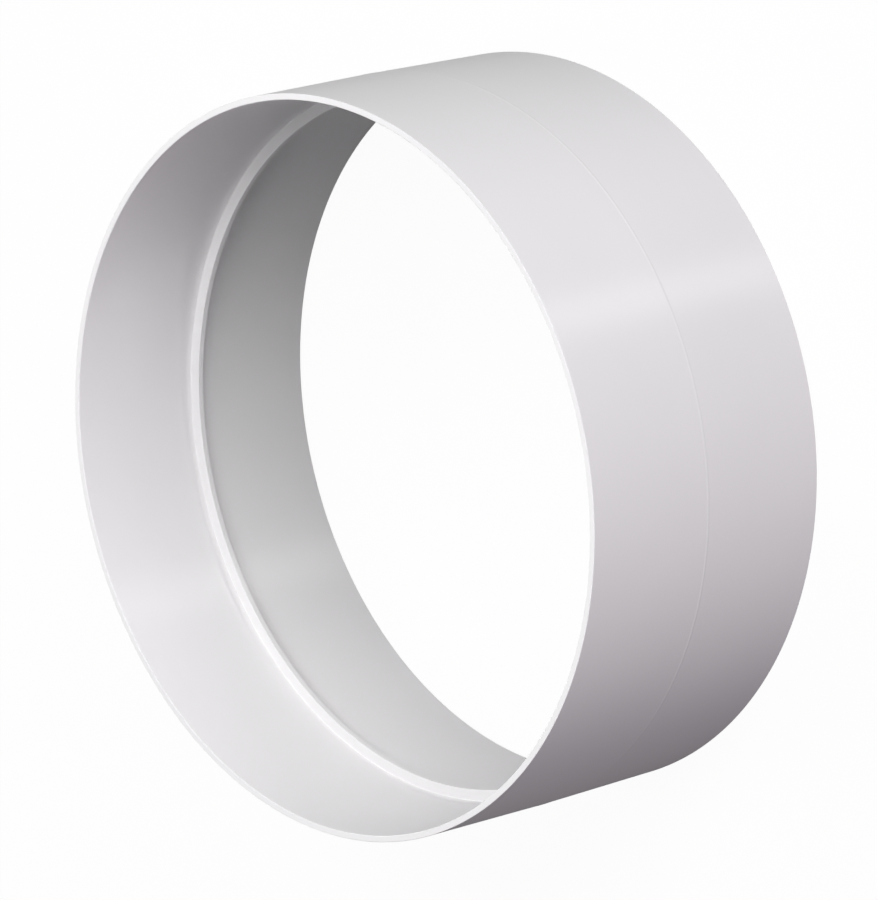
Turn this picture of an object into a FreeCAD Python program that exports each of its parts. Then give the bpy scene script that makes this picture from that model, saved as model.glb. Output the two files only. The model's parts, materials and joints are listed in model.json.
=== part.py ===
# Round duct connector: one moulded sleeve with a stop rib inside at mid-length.
# Millimetres and degrees. The axis is +Z and the sleeve stands on its lower rim at Z = 0.

import FreeCAD
import Part
import math
import os

# Sockets, one at each end, with a bevel at the mouth that leads the duct in
socket_diameter = 151.0
socket_depth = 31.0
lead_in = 0.2

# Wall at the rims, and the outside draft that thickens it towards the parting line
rim_wall = 1.35
outside_draft = 0.5

# Stop rib that both ducts butt against
stop_height = 3.0
stop_thickness = 1.4
stop_root_radius = 0.6

# Raised line outside where the two halves of the mould meet
parting_width = 0.8
parting_height = 0.08

# Heights that follow from the sizes above
stop_bottom = socket_depth
stop_top = stop_bottom + stop_thickness
top = stop_top + socket_depth
middle = top / 2
parting_bottom = middle - parting_width / 2
parting_top = middle + parting_width / 2

# Radii that follow from the sizes above
bore = socket_diameter / 2
crest = bore - stop_height
rim_outside = bore + rim_wall
draft_rise = math.tan(math.radians(outside_draft))
parting_outside = rim_outside + parting_bottom * draft_rise
parting_peak = parting_outside + parting_height


def section_corners():
    """Corners of the wall's section, as (radius, height, rounding), once round."""
    outer_side = [
        (rim_outside, 0, 0),
        (parting_outside, parting_bottom, 0),
        (parting_peak, middle, 0),
        (parting_outside, parting_top, 0),
        (rim_outside, top, 0),
    ]
    inner_side = [
        (bore + lead_in, top, 0),
        (bore, top - lead_in, 0),
        (bore, stop_top, stop_root_radius),
        (crest, stop_top, 0),
        (crest, stop_bottom, 0),
        (bore, stop_bottom, stop_root_radius),
        (bore, lead_in, 0),
        (bore + lead_in, 0, 0),
    ]
    return outer_side + inner_side


def corner_curve(before, corner, after, rounding):
    """Where a corner's rounding starts and ends, with its arc, or no arc at a sharp corner."""
    if rounding == 0:
        return corner, corner, None
    back = (before - corner).normalize()
    ahead = (after - corner).normalize()
    half_angle = back.getAngle(ahead) / 2
    reach = rounding / math.tan(half_angle)
    depth = rounding / math.sin(half_angle) - rounding
    start = corner + back * reach
    end = corner + ahead * reach
    halfway = corner + (back + ahead).normalize() * depth
    return start, end, Part.Arc(start, halfway, end).toShape()


def rounded_face(corners):
    """Flat face in the XZ plane, with straight sides and an arc at each rounded corner."""
    points = [FreeCAD.Vector(radius, 0, height) for radius, height, rounding in corners]
    curves = []
    for place, (radius, height, rounding) in enumerate(corners):
        before = points[place - 1]
        after = points[(place + 1) % len(points)]
        curves.append(corner_curve(before, points[place], after, rounding))
    edges = []
    for place, (start, end, arc) in enumerate(curves):
        next_start = curves[(place + 1) % len(curves)][0]
        if arc:
            edges.append(arc)
        edges.append(Part.LineSegment(end, next_start).toShape())
    return Part.Face(Part.Wire(edges))


def duct_connector():
    """The whole sleeve, turned from its section."""
    centre = FreeCAD.Vector(0, 0, 0)
    axis = FreeCAD.Vector(0, 0, 1)
    return rounded_face(section_corners()).revolve(centre, axis, 360)


os.makedirs("parts", exist_ok=True)
connector = duct_connector()
connector.exportStep("parts/duct_connector.step")
print("length", top, "rim diameter", 2 * rim_outside, "stop bore", 2 * crest)
print("solids", len(connector.Solids), "volume", round(connector.Volume, 1), "valid", connector.isValid())
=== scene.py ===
# Looks of the round duct connector: a white moulded sleeve, standing on end on a white studio floor.
# Metres, in the part's own frame.

import json
import math

import bpy
from mathutils import Matrix, Quaternion, Vector


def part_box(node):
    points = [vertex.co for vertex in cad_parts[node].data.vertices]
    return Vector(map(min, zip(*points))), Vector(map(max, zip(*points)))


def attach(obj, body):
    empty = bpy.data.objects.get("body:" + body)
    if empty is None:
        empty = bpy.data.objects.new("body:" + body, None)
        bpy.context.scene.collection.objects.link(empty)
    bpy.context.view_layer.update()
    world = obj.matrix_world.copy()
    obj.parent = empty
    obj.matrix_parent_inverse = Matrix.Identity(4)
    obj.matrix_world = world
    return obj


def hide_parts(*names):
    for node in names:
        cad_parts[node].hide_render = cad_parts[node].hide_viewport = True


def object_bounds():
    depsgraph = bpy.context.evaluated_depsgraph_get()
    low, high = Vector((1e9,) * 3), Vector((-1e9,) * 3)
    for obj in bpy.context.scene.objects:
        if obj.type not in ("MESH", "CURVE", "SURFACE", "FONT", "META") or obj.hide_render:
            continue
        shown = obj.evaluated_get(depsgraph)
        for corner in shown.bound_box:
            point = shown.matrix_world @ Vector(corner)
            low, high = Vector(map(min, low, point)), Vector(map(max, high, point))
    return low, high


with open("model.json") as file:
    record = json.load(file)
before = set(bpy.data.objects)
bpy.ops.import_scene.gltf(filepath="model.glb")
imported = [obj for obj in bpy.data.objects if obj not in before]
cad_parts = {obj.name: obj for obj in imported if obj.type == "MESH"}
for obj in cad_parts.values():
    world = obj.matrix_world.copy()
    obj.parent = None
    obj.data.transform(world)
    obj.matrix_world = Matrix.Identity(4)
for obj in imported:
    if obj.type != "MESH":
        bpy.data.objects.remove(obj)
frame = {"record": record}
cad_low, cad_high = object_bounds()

MM = 0.001
NODE = "duct_connector"
WHITE = (1, 1, 1, 1)

# Photograph's camera: distance from the sleeve's middle in metres, angles in degrees, lens and sensor in
# millimetres, and framing in pixels of the image
IMAGE_LONG_SIDE = 900
CAMERA_DISTANCE = 1.3971
CAMERA_ELEVATION = 42.289
CAMERA_ROLL = -103.333
CAMERA_LENS = 272.07
SENSOR = 36.0
FRAMING_RIGHT = 1.65
FRAMING_UP = -6.58

# Section of the wall in millimetres and degrees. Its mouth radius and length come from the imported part.
# The sockets have the slight draft that lets the mould's cores out, so they narrow towards the stop rib.
RIM_WALL = 1.35
OUTSIDE_DRAFT = 0.5
INSIDE_DRAFT = 1.15
STOP_HEIGHT = 3.0
STOP_THICKNESS = 1.4
CREST_THICKNESS = 1.25
STOP_ROOT_RADIUS = 0.15
PARTING_WIDTH = 0.8
PARTING_HEIGHT = 0.036

# Small roundings of the moulded edges in millimetres, and the steps of each rounding and of the full turn
MOUTH_RADIUS = 0.2
RIM_EDGE_RADIUS = 0.12
CREST_EDGE_RADIUS = 0.1
PARTING_RADIUS = 0.8
ARC_STEPS = 6
TURN_STEPS = 720

# White plastic: its two tints, its satin skin, the range of roughness under it, and the bumps in millimetres
PLASTIC_PALE = (0.85, 0.841, 0.85, 1)
PLASTIC_DEEP = (0.836, 0.827, 0.836, 1)
SKIN_GLOSS = 0.05
SKIN_IOR = 2.6
SKIN_ROUGHNESS = 0.25
ROUGHNESS_LOW = 0.23
ROUGHNESS_HIGH = 0.27
WAVE_HEIGHT = 0.012
GRAIN_HEIGHT = 0.0008

# Noise in the plastic: features per metre and levels of detail, and the middle range of it that is used
TINT_NOISE = (35, 3)
ROUGHNESS_NOISE = (160, 4)
WAVE_NOISE = (45, 1)
GRAIN_NOISE = (1400, 2)
NOISE_LOW = 0.3
NOISE_HIGH = 0.7

# Sockets of a Mix node that mixes colours
MIX_FIRST = 6
MIX_SECOND = 7
MIX_RESULT = 2

# Floor: half its width in metres, the dark grey that it bounces light with, the pale surface that takes the
# shadow, and the share of plain white over it in what is seen
FLOOR_HALF = 12.0
FLOOR_BOUNCE = (0.06, 0.058, 0.06, 1)
FLOOR_PALE = (0.85, 0.85, 0.85, 1)
FLOOR_WHITE_SHARE = 0.95

# Lamps: compass angle from +X and height angle in degrees, width and height in metres, power in watts, tint.
# The rear lamp keeps the back from being dark. The gloss lamp is small and weak and stands below the floor's
# level; it draws the narrow streaks of gloss outside and inside.
LIGHT_DISTANCE = 1.5
KEY_TINT = (1, 1, 1)
LOW_TINT = (1, 0.91, 1)
LIGHTS = [
    ("key", 299, 40, 0.6, 1.7, 20.0, KEY_TINT),
    ("side", 0, 45, 0.6, 0.6, 5.7, KEY_TINT),
    ("back", 90, 45, 0.6, 0.6, 4.9, KEY_TINT),
    ("rear", 90, 4, 0.6, 0.3, 11.0, KEY_TINT),
    ("low", 242, 8, 0.6, 0.4, 5.2, LOW_TINT),
    ("top", 180, 75, 0.6, 0.6, 3.4, KEY_TINT),
    ("gloss", 298, -42, 0.2, 0.2, 2.8, KEY_TINT),
]


def section_corners(bore, length):
    """Corners of the section as (radius, height, rounding), in millimetres, once round."""
    middle = length / 2
    stop_bottom = middle - STOP_THICKNESS / 2
    stop_top = middle + STOP_THICKNESS / 2
    root = bore - stop_bottom * math.tan(math.radians(INSIDE_DRAFT))
    crest = bore - STOP_HEIGHT
    crest_bottom = middle - CREST_THICKNESS / 2
    crest_top = middle + CREST_THICKNESS / 2
    outside = bore + RIM_WALL
    parting_bottom = middle - PARTING_WIDTH / 2
    parting_top = middle + PARTING_WIDTH / 2
    parting_outside = outside + parting_bottom * math.tan(math.radians(OUTSIDE_DRAFT))
    outer_side = [
        (outside, 0, RIM_EDGE_RADIUS),
        (parting_outside, parting_bottom, PARTING_RADIUS),
        (parting_outside + PARTING_HEIGHT, middle, PARTING_RADIUS),
        (parting_outside, parting_top, PARTING_RADIUS),
        (outside, length, RIM_EDGE_RADIUS),
    ]
    inner_side = [
        (bore, length, MOUTH_RADIUS),
        (root, stop_top, STOP_ROOT_RADIUS),
        (crest, crest_top, CREST_EDGE_RADIUS),
        (crest, crest_bottom, CREST_EDGE_RADIUS),
        (root, stop_bottom, STOP_ROOT_RADIUS),
        (bore, 0, MOUTH_RADIUS),
    ]
    return outer_side + inner_side


def corner_arc(before, corner, after, rounding):
    """Points of the arc at one corner, each with the outward normal of the section there."""
    back = (before - corner).normalized()
    ahead = (after - corner).normalized()
    half_angle = back.angle(ahead) / 2
    inward = (back + ahead).normalized()
    centre = corner + inward * (rounding / math.sin(half_angle))
    start = corner + back * (rounding / math.tan(half_angle)) - centre
    turn = math.pi - 2 * half_angle
    left_turn = ahead.x * back.y - ahead.y * back.x > 0
    side = 1 if left_turn else -1
    points = []
    for step in range(ARC_STEPS + 1):
        spoke = start.copy()
        spoke.rotate(Matrix.Rotation(side * turn * step / ARC_STEPS, 2))
        points.append((centre + spoke, spoke.normalized() * side))
    return points


def section_points(corners):
    """The rounded section as (point, normal) pairs, in metres."""
    places = [Vector((radius, height)) for radius, height, rounding in corners]
    points = []
    for index, (radius, height, rounding) in enumerate(corners):
        before = places[index - 1]
        after = places[(index + 1) % len(places)]
        points += corner_arc(before, places[index], after, rounding)
    return [(point * MM, normal) for point, normal in points]


def turned_mesh(name, section):
    """A closed mesh of the section turned once about Z, with the section's own normals."""
    count = len(section)
    positions = []
    normals = []
    for step in range(TURN_STEPS):
        angle = 2 * math.pi * step / TURN_STEPS
        across = Vector((math.cos(angle), math.sin(angle), 0))
        for point, normal in section:
            positions.append(across * point.x + Vector((0, 0, point.y)))
            normals.append(across * normal.x + Vector((0, 0, normal.y)))
    faces = []
    for step in range(TURN_STEPS):
        here = step * count
        there = (step + 1) % TURN_STEPS * count
        for index in range(count):
            following = (index + 1) % count
            faces.append((here + index, there + index, there + following, here + following))
    mesh = bpy.data.meshes.new(name)
    mesh.from_pydata(positions, [], faces)
    mesh.shade_smooth()
    mesh.normals_split_custom_set_from_vertices(normals)
    mesh.update()
    return mesh


def noise(tree, place, scale, detail):
    """A noise texture, with its scale in features per metre and its levels of finer detail."""
    node = tree.nodes.new("ShaderNodeTexNoise")
    node.inputs["Scale"].default_value = scale
    node.inputs["Detail"].default_value = detail
    tree.links.new(place, node.inputs["Vector"])
    return node.outputs["Fac"]


def spread(tree, value, low, high):
    """A texture's middle range stretched between two values."""
    node = tree.nodes.new("ShaderNodeMapRange")
    node.inputs["From Min"].default_value = NOISE_LOW
    node.inputs["From Max"].default_value = NOISE_HIGH
    node.inputs["To Min"].default_value = low
    node.inputs["To Max"].default_value = high
    tree.links.new(value, node.inputs["Value"])
    return node.outputs["Result"]


def combine(tree, operation, first, second):
    """Two values put together by a maths operation."""
    node = tree.nodes.new("ShaderNodeMath")
    node.operation = operation
    tree.links.new(first, node.inputs[0])
    tree.links.new(second, node.inputs[1])
    return node.outputs["Value"]


def blend(tree, share, first, second):
    """Two colours mixed by a share."""
    node = tree.nodes.new("ShaderNodeMix")
    node.data_type = "RGBA"
    node.inputs[MIX_FIRST].default_value = first
    node.inputs[MIX_SECOND].default_value = second
    tree.links.new(share, node.inputs["Factor"])
    return node.outputs[MIX_RESULT]


def bump(tree, height, distance):
    """A bump of a texture's height, in metres."""
    node = tree.nodes.new("ShaderNodeBump")
    node.inputs["Strength"].default_value = 1
    node.inputs["Distance"].default_value = distance
    tree.links.new(height, node.inputs["Height"])
    return node


def white_plastic():
    """Satin white moulded plastic: a faint mauve tint, a softly glossy skin, fine grain and slight waves."""
    material = bpy.data.materials.new("satin_white")
    material.use_nodes = True
    tree = material.node_tree
    shader = tree.nodes["Principled BSDF"]
    place = tree.nodes.new("ShaderNodeTexCoord").outputs["Object"]
    tint_share = spread(tree, noise(tree, place, *TINT_NOISE), 0, 1)
    tint = blend(tree, tint_share, PLASTIC_PALE, PLASTIC_DEEP)
    tree.links.new(tint, shader.inputs["Base Color"])
    roughness = spread(tree, noise(tree, place, *ROUGHNESS_NOISE), ROUGHNESS_LOW, ROUGHNESS_HIGH)
    tree.links.new(roughness, shader.inputs["Roughness"])
    wave = bump(tree, noise(tree, place, *WAVE_NOISE), WAVE_HEIGHT * MM)
    grain = bump(tree, noise(tree, place, *GRAIN_NOISE), GRAIN_HEIGHT * MM)
    tree.links.new(wave.outputs["Normal"], grain.inputs["Normal"])
    tree.links.new(grain.outputs["Normal"], shader.inputs["Normal"])
    tree.links.new(wave.outputs["Normal"], shader.inputs["Coat Normal"])
    shader.inputs["Specular IOR Level"].default_value = 0
    shader.inputs["Coat Weight"].default_value = SKIN_GLOSS
    shader.inputs["Coat IOR"].default_value = SKIN_IOR
    shader.inputs["Coat Roughness"].default_value = SKIN_ROUGHNESS
    return material


def make_sleeve():
    """The finished sleeve, standing for the CAD solid."""
    sockets = [mount for mount in frame["record"]["mounts"] if mount["kind"] == "bore"]
    bore = sockets[0]["dims"]["r_mm"]
    low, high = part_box(NODE)
    length = (high.z - low.z) / MM
    mesh = turned_mesh("sleeve", section_points(section_corners(bore, length)))
    mesh.materials.append(white_plastic())
    sleeve = bpy.data.objects.new("sleeve", mesh)
    bpy.context.scene.collection.objects.link(sleeve)
    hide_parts(NODE)
    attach(sleeve, "root")


def shown_white(tree, plain, white, result):
    """Gives the result white where it is seen, in gloss and through glass too, and plain to other rays."""
    path = tree.nodes.new("ShaderNodeLightPath")
    seen = combine(tree, "MAXIMUM", path.outputs["Is Camera Ray"], path.outputs["Is Glossy Ray"])
    seen = combine(tree, "MAXIMUM", seen, path.outputs["Is Transmission Ray"])
    switch = tree.nodes.new("ShaderNodeMixShader")
    tree.links.new(seen, switch.inputs["Fac"])
    tree.links.new(plain, switch.inputs[1])
    tree.links.new(white, switch.inputs[2])
    tree.links.new(switch.outputs["Shader"], result)


def floor_white():
    """White as it is seen, with some of the shadow that falls on it, and dark grey as it bounces light."""
    material = bpy.data.materials.new("floor_white")
    material.use_nodes = True
    tree = material.node_tree
    tree.nodes.remove(tree.nodes["Principled BSDF"])
    bounce = tree.nodes.new("ShaderNodeBsdfDiffuse")
    bounce.inputs["Color"].default_value = FLOOR_BOUNCE
    pale = tree.nodes.new("ShaderNodeBsdfDiffuse")
    pale.inputs["Color"].default_value = FLOOR_PALE
    white = tree.nodes.new("ShaderNodeEmission")
    shade = tree.nodes.new("ShaderNodeMixShader")
    shade.inputs["Fac"].default_value = FLOOR_WHITE_SHARE
    tree.links.new(pale.outputs["BSDF"], shade.inputs[1])
    tree.links.new(white.outputs["Emission"], shade.inputs[2])
    result = tree.nodes["Material Output"].inputs["Surface"]
    shown_white(tree, bounce.outputs["BSDF"], shade.outputs["Shader"], result)
    return material


def make_floor():
    """A wide white floor, which lets the light of the lamp below it through."""
    half = FLOOR_HALF
    corners = [(-half, -half, 0), (half, -half, 0), (half, half, 0), (-half, half, 0)]
    mesh = bpy.data.meshes.new("floor")
    mesh.from_pydata(corners, [], [(0, 1, 2, 3)])
    mesh.materials.append(floor_white())
    floor = bpy.data.objects.new("floor", mesh)
    bpy.context.scene.collection.objects.link(floor)
    floor.visible_shadow = False


def make_camera(target):
    """The photograph's view: from above on the -Y side, rolled so that the sleeve's axis points left."""
    elevation = math.radians(CAMERA_ELEVATION)
    back = Vector((0, -math.cos(elevation), math.sin(elevation)))
    camera = bpy.data.objects.new("camera", bpy.data.cameras.new("camera"))
    bpy.context.scene.collection.objects.link(camera)
    camera.location = target + back * CAMERA_DISTANCE
    upright = (-back).to_track_quat("-Z", "Y")
    roll = Quaternion((0, 0, 1), math.radians(CAMERA_ROLL))
    camera.rotation_mode = "QUATERNION"
    camera.rotation_quaternion = upright @ roll
    camera.data.sensor_width = SENSOR
    camera.data.lens = CAMERA_LENS
    camera.data.shift_x = FRAMING_RIGHT / IMAGE_LONG_SIDE
    camera.data.shift_y = FRAMING_UP / IMAGE_LONG_SIDE
    bpy.context.scene.camera = camera


def make_light(target, name, compass, height_angle, width, height, power, tint):
    """A soft box at a compass and height angle, facing the target."""
    turn = math.radians(compass)
    rise = math.radians(height_angle)
    away = Vector((math.cos(rise) * math.cos(turn), math.cos(rise) * math.sin(turn), math.sin(rise)))
    data = bpy.data.lights.new(name, "AREA")
    data.shape = "RECTANGLE"
    data.size = width
    data.size_y = height
    data.energy = power
    data.color = tint
    light = bpy.data.objects.new(name, data)
    light.location = target + away * LIGHT_DISTANCE
    light.rotation_mode = "QUATERNION"
    light.rotation_quaternion = (-away).to_track_quat("-Z", "Y")
    light.visible_camera = False
    bpy.context.scene.collection.objects.link(light)


def make_world():
    """Surroundings that are white as they are seen and give no light of their own."""
    world = bpy.data.worlds.new("studio")
    world.use_nodes = True
    tree = world.node_tree
    white = tree.nodes["Background"]
    white.inputs["Color"].default_value = WHITE
    plain = tree.nodes.new("ShaderNodeBackground")
    plain.inputs["Strength"].default_value = 0
    result = tree.nodes["World Output"].inputs["Surface"]
    shown_white(tree, plain.outputs["Background"], white.outputs["Background"], result)
    bpy.context.scene.world = world


middle = (cad_low + cad_high) / 2
make_sleeve()
make_floor()
make_camera(middle)
for light in LIGHTS:
    make_light(middle, *light)
make_world()
bpy.context.scene.view_settings.view_transform = "Standard"
